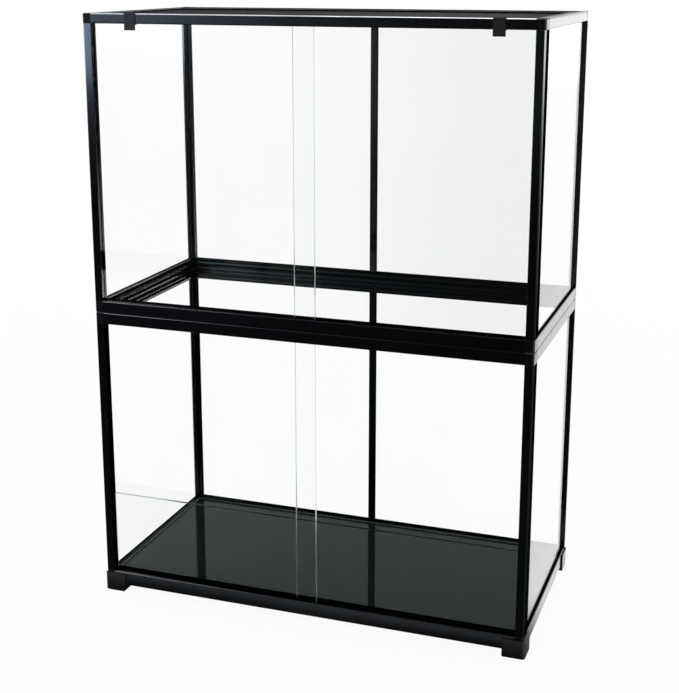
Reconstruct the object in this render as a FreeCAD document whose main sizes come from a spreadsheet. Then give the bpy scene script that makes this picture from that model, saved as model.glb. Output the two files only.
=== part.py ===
"""Stacked glass terrarium: two framed glass modules on moulded feet, sliding doors and a screen top.

Millimetres, +Z up, front towards -Y, origin on the ground under the middle of the cabinet.
"""
import FreeCAD, Part
import operator
import os
from types import SimpleNamespace
import Sketcher

# Driving dimensions, one cell each in the sheet.
SIZES = {
    # whole cabinet, over the feet and the door clips
    "overall_width": 914.4,
    "overall_depth": 457.2,
    "overall_height": 1219.2,
    "lower_module_height": 602.5,
    # moulded feet
    "foot_height": 15.0,
    "foot_proud": 3.0,
    "foot_length": 46.0,
    "foot_wall_height": 27.0,
    "foot_shoulder": 14.0,
    "foot_shoulder_lip": 0.6,
    "foot_edge_bevel": 1.2,
    "foot_heel_bevel": 2.5,
    # heights of the four levels of rails
    "base_rail_height": 29.5,
    "joint_base_rail_height": 24.5,
    "joint_top_rail_height": 24.0,
    "crown_rail_height": 19.5,
    # drawn aluminium profiles
    "wall": 1.8,
    "profile_edge_radius": 2.0,
    "post_width": 18.0,
    "post_edge_radius": 4.0,
    "lip_edge_radius": 0.8,
    "inner_drop": 1.0,
    "flute_width": 0.9,
    "flute_depth": 0.7,
    # sliding doors and their tracks
    "door_thickness": 5.0,
    "door_play": 0.5,
    "door_overlap": 46.0,
    "door_head_engagement": 5.5,
    "door_jamb_gap": 0.5,
    "front_lip": 7.5,
    "track_rib": 3.0,
    "track_depth": 8.0,
    "head_depth": 14.0,
    "jamb_floor": 8.0,
    # fixed panes and the grooves that hold them
    "pane_thickness": 5.0,
    "pane_play": 0.3,
    "pane_head_gap": 1.5,
    "glass_arris": 0.6,
    "glazing_setback": 4.5,
    "glazing_wall": 2.0,
    "sill_depth": 12.0,
    "head_groove_depth": 9.0,
    "mullion_width": 14.0,
    "mullion_web": 4.0,
    # floor pane and substrate dam
    "floor_thickness": 6.0,
    "floor_step": 13.0,
    "floor_ledge": 8.0,
    "dam_height": 213.4,
    # screen top
    "screen_drop": 8.0,
    "screen_shelf_thickness": 2.0,
    "screen_play": 1.0,
    "screen_bar_width": 18.0,
    "screen_bar_height": 7.0,
    "screen_edge_radius": 1.0,
    "screen_step_width": 4.0,
    "screen_step_height": 3.0,
    "net_thickness": 0.8,
    "net_border": 6.0,
    "net_wire": 2.2,
    # rear cable panel
    "cable_panel_depth": 34.0,
    "cable_panel_height": 5.5,
    "cable_panel_lip": 8.0,
    "cable_slot_length": 60.0,
    "cable_slot_width": 14.0,
    "cable_slot_inset": 75.0,
    "gate_margin": 3.0,
    "gate_thickness": 2.4,
    "gate_play": 0.3,
    "gate_ridge_width": 5.0,
    "gate_ridge_height": 2.2,
    # door clips on the crown rail
    "clip_width": 23.0,
    "left_clip_inset": 103.5,
    "right_clip_inset": 82.5,
    "clip_thickness": 1.6,
    "clip_hook_reach": 7.0,
    "clip_tongue_drop": 12.0,
    "clip_tip_radius": 0.7,
    # corner connectors and fasteners
    "connector_bevel": 0.5,
    "connector_free_bevel": 1.4,
    "spigot_length": 20.0,
    "spigot_fit": 0.3,
    "spigot_lead": 1.0,
    "dowel_radius": 2.2,
    "dowel_depth": 9.0,
    "dowel_fit": 0.2,
    "screw_radius": 1.9,
    "screw_depth": 10.0,
    "screw_tip": 1.2,
    "screw_head_radius": 4.0,
    "screw_head_height": 2.4,
    "screw_recess": 5.0,
}

# Gaps of the net across and along the screen.
NET_COLUMNS = 21
NET_ROWS = 9

X = FreeCAD.Vector(1, 0, 0)
Y = FreeCAD.Vector(0, 1, 0)
Z = FreeCAD.Vector(0, 0, 1)
UPRIGHT = FreeCAD.Rotation()

# A rail's profile is drawn with x inward from the outer face and y up, then drawn out along z.
RAIL_TURN = {
    "front": FreeCAD.Rotation(Y, Z, X, "XYZ"),
    "rear": FreeCAD.Rotation(-Y, Z, -X, "XYZ"),
    "left": FreeCAD.Rotation(X, Z, -Y, "XYZ"),
    "right": FreeCAD.Rotation(-X, Z, Y, "XYZ"),
}

# A post's profile has x inward from the side face and y inward from the front or rear face.
POST_TURN = {
    "front_left": FreeCAD.Rotation(X, Y, Z, "XYZ"),
    "front_right": FreeCAD.Rotation(-X, Y, -Z, "XYZ"),
    "rear_left": FreeCAD.Rotation(X, -Y, -Z, "XYZ"),
    "rear_right": FreeCAD.Rotation(-X, -Y, Z, "XYZ"),
}


class Length:
    """A length in two forms: the sheet's formula that keeps it, and its number now."""

    def __init__(self, text, number):
        self.text = text
        self.number = number

    def __add__(self, other):
        return combine(self, "+", other, operator.add)

    def __sub__(self, other):
        return combine(self, "-", other, operator.sub)

    def __rmul__(self, factor):
        return combine(factor, "*", self, operator.mul)

    def __truediv__(self, divisor):
        return combine(self, "/", divisor, operator.truediv)

    def __neg__(self):
        return -1 * self


def combine(first, sign, second, work):
    first, second = as_length(first), as_length(second)
    text = "(%s %s %s)" % (first.text, sign, second.text)
    return Length(text, work(first.number, second.number))


def as_length(thing):
    return thing if isinstance(thing, Length) else Length(str(thing), thing)


doc = FreeCAD.newDocument("Terrarium")
sheet = doc.addObject("Spreadsheet::Sheet", "Sizes")
size = SimpleNamespace()
for row, (alias, number) in enumerate(SIZES.items(), start=1):
    sheet.set("A%d" % row, alias)
    sheet.set("B%d" % row, str(number))
    sheet.setAlias("B%d" % row, alias)
    setattr(size, alias, Length("Sizes." + alias, number))
doc.recompute()

# Lengths that follow from the driving ones.
zero = Length("0", 0)
frame_width = size.overall_width - 2 * size.foot_proud
frame_depth = size.overall_depth - 2 * size.foot_proud
frame_top = size.overall_height - size.clip_thickness
left_face, right_face = -frame_width / 2, frame_width / 2
front_face, rear_face = -frame_depth / 2, frame_depth / 2
seam = size.foot_height + size.lower_module_height
pane_groove = size.pane_thickness + 2 * size.pane_play
glazing_back = size.glazing_setback + pane_groove
core = glazing_back + size.glazing_wall
track = size.door_thickness + 2 * size.door_play
first_end = size.front_lip + track
second_start = first_end + size.track_rib
second_end = second_start + track
dam_start = second_end + size.wall
dam_end = dam_start + pane_groove
sill_back = dam_end + size.wall
front_rail_width = sill_back + size.floor_ledge
front_stile = dam_start + size.post_width - core
foot_corner_radius = size.post_edge_radius + size.foot_proud
fastener_inset = core / 2
screen_seat = frame_top - size.screen_drop

# The two modules, each with the heights of its own rails.
MODULES = {
    "lower": SimpleNamespace(
        base=size.foot_height,
        top=seam,
        base_rail=size.base_rail_height,
        top_rail=size.joint_top_rail_height,
    ),
    "upper": SimpleNamespace(
        base=seam,
        top=frame_top,
        base_rail=size.joint_base_rail_height,
        top_rail=size.crown_rail_height,
    ),
}

nodes = []
pockets = []


def bind(thing, path, length):
    thing.setExpression(path, as_length(length).text)


def place(thing, base, turn=UPRIGHT):
    """Put a piece at three lengths, turned."""
    thing.Placement = FreeCAD.Placement(FreeCAD.Vector(*[length.number for length in base]), turn)
    for axis, length in zip("xyz", base):
        bind(thing, "Placement.Base." + axis, length)


def new_body(name, base, turn=UPRIGHT):
    body = doc.addObject("PartDesign::Body", name)
    place(body, base, turn)
    return body


def node(thing, name):
    """Name a finished piece: its label is the name of its file."""
    thing.Label = name
    nodes.append(thing)
    return thing


def new_sketch(body, height=zero, turn=UPRIGHT):
    """Start a sketch level with the body's own XY plane, raised to a height or turned."""
    sketch = body.newObject("Sketcher::SketchObject", body.Name + "_sketch")
    planes = [plane for plane in body.Origin.OriginFeatures if plane.Role == "XY_Plane"]
    sketch.AttachmentSupport = (planes[0], [""])
    sketch.MapMode = "FlatFace"
    sketch.AttachmentOffset = FreeCAD.Placement(FreeCAD.Vector(0, 0, height.number), turn)
    bind(sketch, "AttachmentOffset.Base.z", height)
    return sketch


def tie(sketch, geometry, point, across, along):
    """Hold a point of the sketch at two lengths from its origin."""
    for kind, length in (("DistanceX", across), ("DistanceY", along)):
        rule = Sketcher.Constraint(kind, -1, 1, geometry, point, length.number)
        bind(sketch, "Constraints[%d]" % sketch.addConstraint(rule), length)


def outline(sketch, corners):
    """Draw a closed outline of straight lines through the corners."""
    points = [FreeCAD.Vector(across.number, along.number, 0) for across, along in corners]
    first = sketch.GeometryCount
    for start, end in zip(points, points[1:] + points[:1]):
        sketch.addGeometry(Part.LineSegment(start, end), False)
    for index, (across, along) in enumerate(corners):
        following = first + (index + 1) % len(corners)
        sketch.addConstraint(Sketcher.Constraint("Coincident", first + index, 2, following, 1))
        tie(sketch, first + index, 1, across, along)


def circle(sketch, across, along, radius):
    centre = FreeCAD.Vector(across.number, along.number, 0)
    number = sketch.addGeometry(Part.Circle(centre, Z, radius.number), False)
    tie(sketch, number, 3, across, along)
    rule = Sketcher.Constraint("Radius", number, radius.number)
    bind(sketch, "Constraints[%d]" % sketch.addConstraint(rule), radius)


def rectangle(left, front, right, rear):
    return [(left, front), (right, front), (right, rear), (left, rear)]


def centred(across, along, length, width):
    return rectangle(across - length / 2, along - width / 2, across + length / 2, along + width / 2)


def extrude(body, kind, sketch, length):
    feature = body.newObject("PartDesign::" + kind, body.Name + "_" + kind.lower())
    feature.Profile = sketch
    bind(feature, "Length", length)
    body.Tip = feature
    if kind == "Pocket":
        pockets.append(feature)
    return feature


def pad(body, outlines, low, high):
    """Add material between two heights, inside the first outline and outside the others."""
    sketch = new_sketch(body, low)
    for corners in outlines:
        outline(sketch, corners)
    return extrude(body, "Pad", sketch, high - low)


def pocket(body, outlines, low, high):
    """Remove what lies inside the outlines between two heights."""
    sketch = new_sketch(body, high)
    for corners in outlines:
        outline(sketch, corners)
    return extrude(body, "Pocket", sketch, high - low)


def bore(body, across, along, radius, low, high):
    """Remove a round hole between two heights."""
    sketch = new_sketch(body, high)
    circle(sketch, across, along, radius)
    return extrude(body, "Pocket", sketch, high - low)


def dress(body, kind, base, edges, length):
    """Round or bevel named edges of a feature."""
    feature = body.newObject("PartDesign::" + kind, body.Name + "_" + kind.lower())
    feature.Base = (base, edges)
    bind(feature, "Radius" if kind == "Fillet" else "Size", length)
    body.Tip = feature
    return feature


def edges_where(feature, test):
    """Name the edges whose middle and run pass a test."""
    doc.recompute()
    names = []
    for index, edge in enumerate(feature.Shape.Edges, start=1):
        first, last = edge.Vertexes[0].Point, edge.Vertexes[-1].Point
        if test((first + last) / 2, last - first):
            names.append("Edge%d" % index)
    return names


def near(number, length):
    return abs(number - length.number) < 0.01


def long_edges(feature, places):
    """Name the edges along z that stand at the given x and y."""
    def test(middle, run):
        if abs(run.x) + abs(run.y) > 0.01:
            return False
        return any(near(middle.x, across) and near(middle.y, along) for across, along in places)
    return edges_where(feature, test)


def drawn_profile(name, base, turn, outlines, length, rounded):
    """A length of drawn aluminium: a hollow outline whose edges are rounded, each set by its own radius."""
    body = new_body(name, base, turn)
    feature = pad(body, outlines, zero, length)
    for radius, places in rounded:
        feature = dress(body, "Fillet", feature, long_edges(feature, places), radius)
    return node(body, name)


def glass_plate(name, low, high):
    """A pane with its edges ground to a fine arris."""
    body = new_body(name, low)
    across, along, up = [end - start for start, end in zip(low, high)]
    feature = pad(body, [rectangle(zero, zero, across, along)], zero, up)
    every = edges_where(feature, lambda middle, run: True)
    dress(body, "Chamfer", feature, every, size.glass_arris)
    return node(body, name)


def fluted_ledge(inner, outer, level):
    """Top of the floor ledge, from its free edge back to the wall, with two fine flutes."""
    corners = [(outer, level)]
    bottom = level - size.flute_depth
    for share in (2, 1):
        middle = inner + share * (outer - inner) / 3
        left, right = middle - size.flute_width / 2, middle + size.flute_width / 2
        corners += [(right, level), (right, bottom), (left, bottom), (left, level)]
    return corners + [(inner, level)]


def base_rail_profile(side, height):
    """Bottom rail: door tracks or a pane groove, a ledge for the floor pane, one hollow chamber."""
    step = height - size.floor_step
    inner = height - size.inner_drop
    sill = height - size.sill_depth
    tread = height - size.track_depth
    if side == "front":
        width, wall_back, groove, groove_end = front_rail_width, sill_back, dam_start, dam_end
        crest = [
            (dam_start, inner),
            (second_end, inner),
            (second_end, tread),
            (second_start, tread),
            (second_start, inner),
            (first_end, inner),
            (first_end, tread),
            (size.front_lip, tread),
            (size.front_lip, height),
        ]
    else:
        width, wall_back, groove, groove_end = size.post_width, core, size.glazing_setback, glazing_back
        crest = [(size.glazing_setback, height)]
    skin = [(zero, zero), (width, zero)] + fluted_ledge(wall_back, width, step)
    skin += [(wall_back, inner), (groove_end, inner), (groove_end, sill), (groove, sill)]
    skin += crest + [(zero, height)]
    chamber = rectangle(size.wall, size.wall, width - size.wall, step - size.wall)
    return [skin, chamber]


def top_rail_profile(side, height):
    """Top rail: grooves below, a shelf above for the screen, one hollow chamber."""
    seat = height - size.screen_drop
    under = seat - size.screen_shelf_thickness
    roof = height - size.wall
    if side == "front":
        back, reach = dam_start, front_stile
        tracks = ((size.front_lip, first_end), (second_start, second_end))
        grooves = [(start, end, size.head_depth) for start, end in tracks]
        chamber = rectangle(size.wall, size.wall, size.front_lip - size.wall, roof)
    else:
        back, reach = core, size.post_width
        grooves = [(size.glazing_setback, glazing_back, size.head_groove_depth)]
        chamber = rectangle(size.wall, size.head_groove_depth + size.wall, core - size.wall, roof)
    skin = [(zero, zero)]
    for start, end, depth in grooves:
        skin += [(start, zero), (start, depth), (end, depth), (end, zero)]
    skin += [(back, zero), (back, under), (reach, under), (reach, seat), (back, seat)]
    skin += [(back, height), (zero, height)]
    return [skin, chamber]


def rail_run(side):
    """Where a rail starts in plan and how long it is, between the corner connectors."""
    across = frame_width - 2 * size.post_width
    along = frame_depth - front_stile - size.post_width
    runs = {
        "front": (left_face + size.post_width, front_face, across),
        "rear": (right_face - size.post_width, rear_face, across),
        "left": (left_face, rear_face - size.post_width, along),
        "right": (right_face, front_face + front_stile, along),
    }
    return runs[side]


def rails(module):
    level = MODULES[module]
    for side, turn in RAIL_TURN.items():
        across, along, length = rail_run(side)
        members = (
            ("base", level.base, level.base_rail, base_rail_profile),
            ("top", level.top - level.top_rail, level.top_rail, top_rail_profile),
        )
        for member, low, height, profile in members:
            name = "%s_%s_%s_rail" % (module, side, member)
            rounded = [(size.profile_edge_radius, [(zero, zero), (zero, height)])]
            drawn_profile(name, (across, along, low), turn, profile(side, height), length, rounded)


def front_post_profile():
    """Corner post with a jamb channel for each door and a groove for the side pane."""
    skin = [
        (zero, zero),
        (size.post_width, zero),
        (size.post_width, size.front_lip),
        (size.jamb_floor, size.front_lip),
        (size.jamb_floor, first_end),
        (size.post_width, first_end),
        (size.post_width, second_start),
        (size.jamb_floor, second_start),
        (size.jamb_floor, second_end),
        (core, second_end),
        (core, front_stile),
        (glazing_back, front_stile),
        (glazing_back, dam_start),
        (size.glazing_setback, dam_start),
        (size.glazing_setback, front_stile),
        (zero, front_stile),
    ]
    chamber = rectangle(size.wall, size.wall, size.jamb_floor - size.wall, second_end - size.wall)
    return [skin, chamber]


def rear_post_profile():
    """Corner post with one groove for the rear pane and one for the side pane."""
    width, setback = size.post_width, size.glazing_setback
    half = [
        (width, zero),
        (width, setback),
        (core, setback),
        (core, glazing_back),
        (width, glazing_back),
        (width, core),
    ]
    other_half = [(along, across) for across, along in reversed(half)]
    skin = [(zero, zero)] + half + [(core, core)] + other_half
    chamber = rectangle(size.wall, size.wall, core - size.wall, core - size.wall)
    return [skin, chamber]


def mullion_profile():
    """Middle bar of the back, with a groove in each side for a rear pane."""
    half, web = size.mullion_width / 2, size.mullion_web / 2
    right = [
        (half, zero),
        (half, size.glazing_setback),
        (web, size.glazing_setback),
        (web, glazing_back),
        (half, glazing_back),
        (half, core),
    ]
    left = [(-across, along) for across, along in reversed(right)]
    return [right + left]


def posts(module):
    level = MODULES[module]
    low = level.base + level.base_rail
    high = level.top - level.top_rail
    outer_edge = (size.post_edge_radius, [(zero, zero)])
    inner_edge = (size.lip_edge_radius, [(size.post_width, zero)])
    for corner, turn in POST_TURN.items():
        depth_side, width_side = corner.split("_")
        across = left_face if width_side == "left" else right_face
        start = low if turn.multVec(Z).z > 0 else high
        if depth_side == "front":
            along, profile, rounded = front_face, front_post_profile(), [outer_edge, inner_edge]
        else:
            along, profile, rounded = rear_face, rear_post_profile(), [outer_edge]
        name = "%s_%s_post" % (module, corner)
        drawn_profile(name, (across, along, start), turn, profile, high - low, rounded)
    half = size.mullion_width / 2
    rounded = [(size.lip_edge_radius, [(half, core), (-half, core)])]
    base, turn = (zero, rear_face, high), POST_TURN["rear_left"]
    drawn_profile(module + "_rear_mullion", base, turn, mullion_profile(), high - low, rounded)


def panes(module):
    """Fixed panes, seated on the sill of their groove with a little room at the head."""
    level = MODULES[module]
    low = level.base + level.base_rail - size.sill_depth
    high = level.top - level.top_rail + size.head_groove_depth - size.pane_head_gap
    outside = size.glazing_setback + size.pane_play
    inside = outside + size.pane_thickness
    front = front_face + dam_start + size.pane_play
    rear = rear_face - core - size.pane_play
    sides = (
        ("left", left_face + outside, left_face + inside),
        ("right", right_face - inside, right_face - outside),
    )
    for side, left, right in sides:
        glass_plate("%s_%s_pane" % (module, side), (left, front, low), (right, rear, high))
    stile = core + size.pane_play
    web = size.mullion_web / 2 + size.pane_play
    near_side, far_side = rear_face - inside, rear_face - outside
    glass_plate(module + "_rear_left_pane", (left_face + stile, near_side, low), (-web, far_side, high))
    glass_plate(module + "_rear_right_pane", (web, near_side, low), (right_face - stile, far_side, high))


def doors(module):
    """Two frameless doors that stand in the tracks and pass each other."""
    level = MODULES[module]
    low = level.base + level.base_rail - size.track_depth
    high = level.top - level.top_rail + size.door_head_engagement
    jamb = size.jamb_floor + size.door_jamb_gap
    lap = size.door_overlap / 2
    leaves = (
        ("left", size.front_lip, left_face + jamb, lap),
        ("right", second_start, -lap, right_face - jamb),
    )
    for side, channel, left, right in leaves:
        face = front_face + channel + size.door_play
        back = face + size.door_thickness
        glass_plate("%s_%s_door" % (module, side), (left, face, low), (right, back, high))


def floor_and_dam():
    """Dark glass floor on the ledges of the base rails, and the fixed pane that holds the substrate in."""
    rail_top = size.foot_height + size.base_rail_height
    side = right_face - core - size.pane_play
    ledge = rail_top - size.floor_step
    front = front_face + sill_back + size.pane_play
    rear = rear_face - core - size.pane_play
    glass_plate("floor_pane", (-side, front, ledge), (side, rear, ledge + size.floor_thickness))
    face = front_face + dam_start + size.pane_play
    sill = rail_top - size.sill_depth
    glass_plate("substrate_dam", (-side, face, sill), (side, face + size.pane_thickness, size.dam_height))


def connector_block(body, reach, far, height, free, joint):
    """The visible block of a corner connector: rounded like the post, bevelled most at its free end."""
    block = pad(body, [rectangle(zero, zero, reach, far)], zero, height)
    upright = long_edges(block, [(zero, zero)])
    feature = dress(body, "Fillet", block, upright, size.post_edge_radius)
    for level, bevel in ((free, size.connector_free_bevel), (joint, size.connector_bevel)):
        def rim(middle, run):
            return near(middle.z, level) and near(middle.y, zero) and abs(run.z) < 0.01
        feature = dress(body, "Chamfer", feature, edges_where(feature, rim), bevel)


def spigot(body, axis, low, high, root_low=True):
    """A tongue that slides into the hollow of a rail or post, bevelled at its tip."""
    low = [length + size.spigot_fit for length in low]
    high = [length - size.spigot_fit for length in high]
    if root_low:
        low[axis] = low[axis] - size.spigot_fit
        tip = high[axis]
    else:
        high[axis] = high[axis] + size.spigot_fit
        tip = low[axis]
    feature = pad(body, [rectangle(low[0], low[1], high[0], high[1])], low[2], high[2])
    tip_edges = edges_where(feature, lambda middle, run: near(middle[axis], tip) and abs(run[axis]) < 0.01)
    dress(body, "Chamfer", feature, tip_edges, size.spigot_lead)


def glass_slots(far):
    """Where the edges of a side pane and a rear pane pass into a rear corner."""
    side = rectangle(size.glazing_setback, core, glazing_back, far)
    rear = rectangle(core, size.glazing_setback, far, glazing_back)
    return [side, rear]


def track_slots(reach):
    """Where the doors run into a front corner."""
    return [
        rectangle(size.jamb_floor, size.front_lip, reach, first_end),
        rectangle(size.jamb_floor, second_start, reach, second_end),
    ]


def base_connector(body, depth_side, height):
    """Moulded corner below a post: a block slotted for glass, with a tongue for each member."""
    reach = size.post_width
    sill, wall = height - size.sill_depth, size.wall
    roof = height - size.floor_step - wall
    if depth_side == "front":
        far, rail_width = front_stile, front_rail_width
        post = (size.jamb_floor - wall, second_end - wall)
        connector_block(body, reach, far, height, free=zero, joint=height)
        pocket(body, track_slots(reach), height - size.track_depth, height)
        side_slot = rectangle(size.glazing_setback, dam_start, glazing_back, far)
        dam_slot = rectangle(core, dam_start, reach, dam_end)
        pocket(body, [side_slot, dam_slot], sill, height)
    else:
        far, rail_width = size.post_width, size.post_width
        post = (core - wall, core - wall)
        connector_block(body, reach, far, height, free=zero, joint=height)
        pocket(body, glass_slots(far), sill, height)
        pocket(body, [rectangle(core, core, reach, far)], height - size.floor_step, height)
    length = size.spigot_length
    spigot(body, 0, (reach, wall, wall), (reach + length, rail_width - wall, roof))
    spigot(body, 1, (wall, far, wall), (size.post_width - wall, far + length, roof))
    spigot(body, 2, (wall, wall, height), post + (height + length,))


def top_connector(body, depth_side, height):
    """Moulded corner above a post, notched for the screen."""
    reach = size.post_width
    wall, groove = size.wall, size.head_groove_depth
    seat, roof = height - size.screen_drop, height - wall
    if depth_side == "front":
        far = front_stile
        rail_back, rail_floor = size.front_lip - wall, wall
        post = (size.jamb_floor - wall, second_end - wall)
        connector_block(body, reach, far, height, free=height, joint=zero)
        pocket(body, track_slots(reach), zero, size.head_depth)
        pocket(body, [rectangle(size.glazing_setback, dam_start, glazing_back, far)], zero, groove)
        pocket(body, [rectangle(core, dam_start, reach, far)], seat, height)
    else:
        far = size.post_width
        rail_back, rail_floor = core - wall, groove + wall
        post = (core - wall, core - wall)
        connector_block(body, reach, far, height, free=height, joint=zero)
        pocket(body, glass_slots(far), zero, groove)
        pocket(body, [rectangle(core, core, reach, far)], seat, height)
    length = size.spigot_length
    spigot(body, 0, (reach, wall, rail_floor), (reach + length, rail_back, roof))
    spigot(body, 1, (wall, far, groove + wall), (core - wall, far + length, roof))
    spigot(body, 2, (wall, wall, -length), post + (zero,), root_low=False)


def mirrored(thing, name, normal):
    copy = doc.addObject("Part::Mirroring", name)
    copy.Source = thing
    copy.Base = FreeCAD.Vector(0, 0, 0)
    copy.Normal = normal
    return copy


def group(name, pieces):
    """Several separate pieces of one kind that share a node."""
    together = doc.addObject("Part::Compound", name)
    together.Links = pieces
    return node(together, name)


def connectors(module):
    """The eight corners of a module, drawn at the front left and mirrored to the other places."""
    level = MODULES[module]
    kinds = (
        ("base", base_connector, level.base, level.base_rail),
        ("top", top_connector, level.top - level.top_rail, level.top_rail),
    )
    screw, dowel = size.screw_radius + size.dowel_fit, size.dowel_radius + size.dowel_fit
    holes = {
        ("lower", "base"): (screw, zero, size.screw_depth),
        ("lower", "top"): (dowel, level.top_rail - size.dowel_depth, level.top_rail),
        ("upper", "base"): (dowel, zero, size.dowel_depth),
    }
    for kind, make, low, height in kinds:
        corners = []
        for depth_side in ("front", "rear"):
            name = "%s_%s_%s_connector" % (module, kind, depth_side)
            body = new_body(name, (left_face, front_face, low))
            make(body, depth_side, height)
            if (module, kind) in holes:
                radius, start, end = holes[module, kind]
                bore(body, fastener_inset, fastener_inset, radius, start, end)
            corner = body if depth_side == "front" else mirrored(body, name + "_turned", Y)
            corners += [corner, mirrored(corner, name + "_right", X)]
        group("%s_%s_connectors" % (module, kind), corners)


def corner_pins(name, low, make):
    """The same small fastener at all four corners."""
    left = new_body(name + "_front_left", (left_face + fastener_inset, front_face + fastener_inset, low))
    make(left)
    right = mirrored(left, name + "_front_right", X)
    rear = [mirrored(pin, pin.Name + "_rear", Y) for pin in (left, right)]
    group(name, [left, right] + rear)


def stacking_dowel(body):
    """Pin that locates the upper module on the lower one."""
    sketch = new_sketch(body)
    circle(sketch, zero, zero, size.dowel_radius)
    extrude(body, "Pad", sketch, 2 * size.dowel_depth)


def foot_screw(body):
    """Pan-head screw that holds a foot to the corner above it."""
    shank = size.foot_height - size.screw_recess + size.screw_depth
    sketch = new_sketch(body, turn=FreeCAD.Rotation(X, 90))
    outline(sketch, [
        (zero, -size.screw_head_height),
        (size.screw_head_radius, -size.screw_head_height),
        (size.screw_head_radius, zero),
        (size.screw_radius, zero),
        (size.screw_radius, shank - size.screw_tip),
        (zero, shank),
    ])
    feature = body.newObject("PartDesign::Revolution", body.Name + "_turned")
    feature.Profile = sketch
    feature.ReferenceAxis = (sketch, ["V_Axis"])
    feature.Angle = 360
    body.Tip = feature


def foot(name, base, turn):
    """Moulded corner foot: a heel under the frame, two low walls round it and a sloped shoulder."""
    body = new_body(name, base, turn)
    length, proud = size.foot_length, size.foot_proud
    wall_top = size.foot_wall_height + size.foot_shoulder
    block = pad(body, [rectangle(zero, zero, length, length)], zero, wall_top)

    def heel(middle, run):
        return near(middle.z, zero) and (near(middle.x, length) or near(middle.y, length))
    dress(body, "Chamfer", block, edges_where(block, heel), size.foot_heel_bevel)
    over = length + proud
    seat = pocket(body, [rectangle(proud, proud, over, over)], size.foot_height, wall_top)

    def rim(middle, run):
        return near(middle.z, wall_top) and (near(middle.x, zero) or near(middle.y, zero))
    shoulder = dress(body, "Chamfer", seat, edges_where(seat, rim), size.foot_shoulder)
    shoulder.ChamferType = "Two distances"
    bind(shoulder, "Size2", proud - size.foot_shoulder_lip)

    def corner(middle, run):
        return near(middle.x, zero) and near(middle.y, zero)
    rounded = dress(body, "Fillet", shoulder, edges_where(shoulder, corner), foot_corner_radius)

    def sole(middle, run):
        return near(middle.z, zero) and middle.x + middle.y < (length - size.foot_heel_bevel).number
    dress(body, "Chamfer", rounded, edges_where(rounded, sole), size.foot_edge_bevel)
    hole = proud + fastener_inset
    bore(body, hole, hole, size.screw_radius + size.dowel_fit, zero, size.foot_height)
    bore(body, hole, hole, size.screw_head_radius + size.dowel_fit, zero, size.screw_recess)
    return node(body, name)


def feet():
    across, along = size.overall_width / 2, size.overall_depth / 2
    foot("front_left_foot", (-across, -along, zero), FreeCAD.Rotation(Z, 0))
    foot("front_right_foot", (across, -along, zero), FreeCAD.Rotation(Z, 90))
    foot("rear_right_foot", (across, along, zero), FreeCAD.Rotation(Z, 180))
    foot("rear_left_foot", (-across, along, zero), FreeCAD.Rotation(Z, 270))


def screen():
    """Lift-off screen: a stepped ring frame with a net laid on its step."""
    width = frame_width - 2 * (core + size.screen_play)
    front = front_face + dam_start + size.screen_play
    depth = rear_face - core - size.cable_panel_depth - size.screen_play - front
    body = new_body("screen_frame", (-width / 2, front, screen_seat))
    bar = size.screen_bar_width
    land = bar - size.screen_step_width
    top = size.screen_bar_height
    ring = pad(body, [rectangle(zero, zero, width, depth)], zero, top)
    rim = edges_where(ring, lambda middle, run: near(middle.z, top))
    dress(body, "Fillet", ring, rim, size.screen_edge_radius)
    pocket(body, [rectangle(bar, bar, width - bar, depth - bar)], zero, top)
    pocket(body, [rectangle(land, land, width - land, depth - land)], size.screen_step_height, top)
    node(body, "screen_frame")

    inset = land + size.pane_play
    net = doc.addObject("Part::Feature", "screen_net")
    net.Shape = net_sheet((width - 2 * inset).number, (depth - 2 * inset).number)
    place(net, (inset - width / 2, front + inset, screen_seat + size.screen_step_height))
    node(net, "screen_net")


def net_sheet(width, depth):
    """A flat sheet with rows of square gaps, in one face drawn out to the wire's thickness."""
    border, wire = size.net_border.number, size.net_wire.number
    across = (width - 2 * border + wire) / NET_COLUMNS
    along = (depth - 2 * border + wire) / NET_ROWS
    wires = [Part.makePlane(width, depth).OuterWire]
    for column in range(NET_COLUMNS):
        for row in range(NET_ROWS):
            corner = FreeCAD.Vector(border + column * across, border + row * along, 0)
            wires.append(Part.makePlane(across - wire, along - wire, corner).OuterWire.reversed())
    face = Part.Face(wires)
    face.validate()
    return face.extrude(Z * size.net_thickness.number)


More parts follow.
